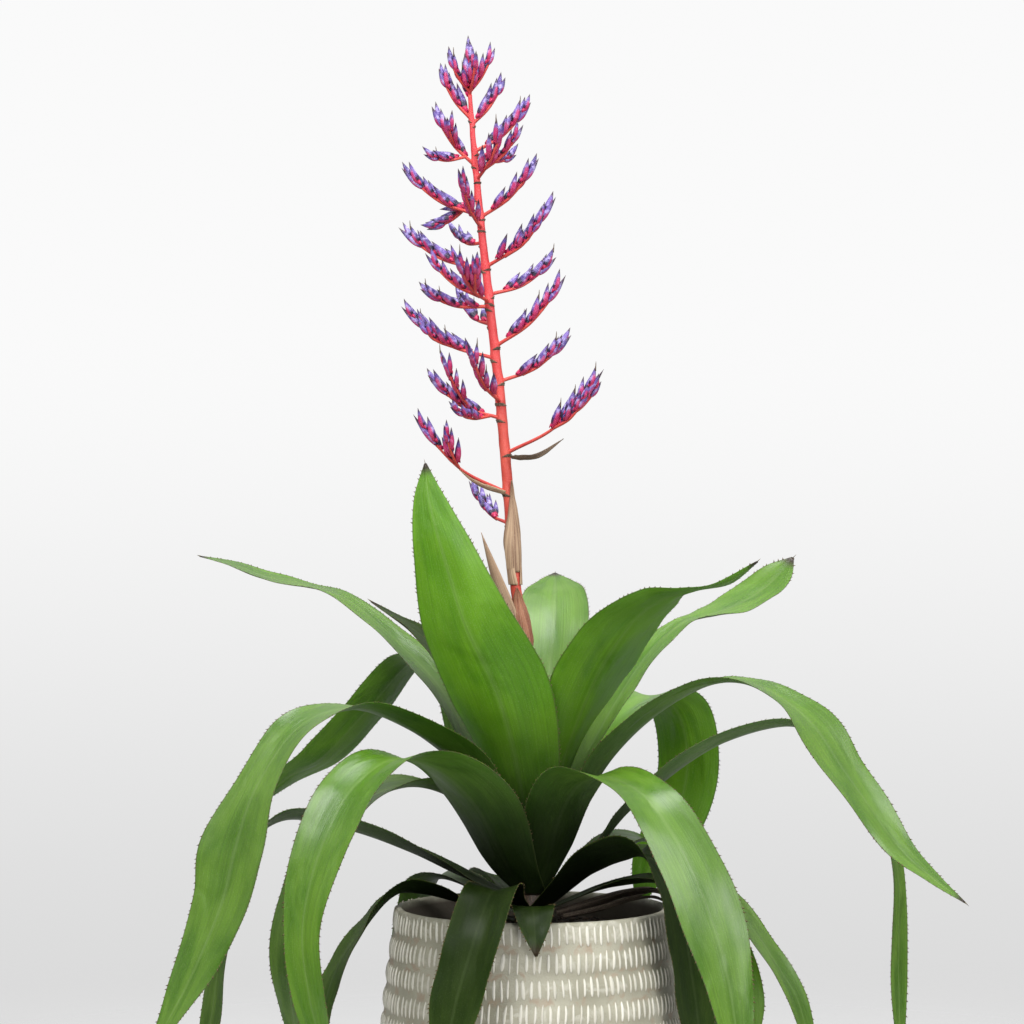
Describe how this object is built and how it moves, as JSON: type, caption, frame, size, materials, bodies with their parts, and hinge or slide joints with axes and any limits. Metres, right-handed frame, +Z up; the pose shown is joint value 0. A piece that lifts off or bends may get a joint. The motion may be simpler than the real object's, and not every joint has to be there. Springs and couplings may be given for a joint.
{
  "type": "potted bromeliad",
  "caption": "Bromeliad in a textured round-bellied ceramic pot: arching strap leaves in a rosette round one tall coral stem with violet flower spikes.",
  "frame": {"origin": "middle of the pot's flat underside, where it stands", "axes": "+Z up along the pot's axis and the flower stem, +X to the plant's right and +Y to its back as it is usually looked at"},
  "size_m": [0.6022, 0.4859, 0.887],
  "materials": {
    "pot_clay": "matte",
    "potting_soil": "matte",
    "leaf_green": "satin",
    "leaf_young": "satin",
    "leaf_dry": "matte",
    "stem_coral": "satin",
    "bract_dry": "matte",
    "flower_violet": "satin"
  },
  "bodies": {
    "root": {"bract_slender": "bract_dry", "bract_under_spike": "bract_dry", "bract_wrap_lower": "bract_dry", "bract_wrap_upper": "bract_dry", "flower_stem": "stem_coral", "leaf_back": "leaf_green", "leaf_back_left": "leaf_green", "leaf_back_left_low": "leaf_green", "leaf_back_low": "leaf_green", "leaf_back_right": "leaf_green", "leaf_back_right_low": "leaf_green", "leaf_back_tall": "leaf_green", "leaf_back_upper": "leaf_green", "leaf_dry_right": "leaf_dry", "leaf_front_left": "leaf_green", "leaf_front_right": "leaf_green", "leaf_front_rim": "leaf_green", "leaf_front_small": "leaf_green", "leaf_front_tall": "leaf_young", "leaf_left_hanging": "leaf_green", "leaf_left_inner": "leaf_green", "leaf_left_long": "leaf_green", "leaf_left_low": "leaf_green", "leaf_left_rim": "leaf_green", "leaf_left_upper": "leaf_green", "leaf_right_long": "leaf_green", "leaf_right_low": "leaf_green", "leaf_right_low_inner": "leaf_green", "leaf_right_lower_long": "leaf_green", "leaf_right_short": "leaf_green", "leaf_right_upper": "leaf_green", "leaf_right_upper_back": "leaf_green", "pot": "pot_clay", "soil": "potting_soil", "spike_back_fifth": "flower_violet", "spike_back_low": "flower_violet", "spike_back_second": "flower_violet", "spike_back_sixth": "flower_violet", "spike_front_dense": "flower_violet", "spike_front_fifth": "flower_violet", "spike_front_seventh": "flower_violet", "spike_front_third": "flower_violet", "spike_left_dense": "flower_violet", "spike_left_fourth": "flower_violet", "spike_left_low": "flower_violet", "spike_left_second": "flower_violet", "spike_left_seventh": "flower_violet", "spike_left_sixth": "flower_violet", "spike_left_small": "flower_violet", "spike_left_third": "flower_violet", "spike_left_top": "flower_violet", "spike_right_fifth": "flower_violet", "spike_right_fourth": "flower_violet", "spike_right_low": "flower_violet", "spike_right_second": "flower_violet", "spike_right_seventh": "flower_violet", "spike_right_sixth": "flower_violet", "spike_right_third": "flower_violet", "spike_right_top": "flower_violet", "spike_tip": "flower_violet"}
  },
  "joints": []
}
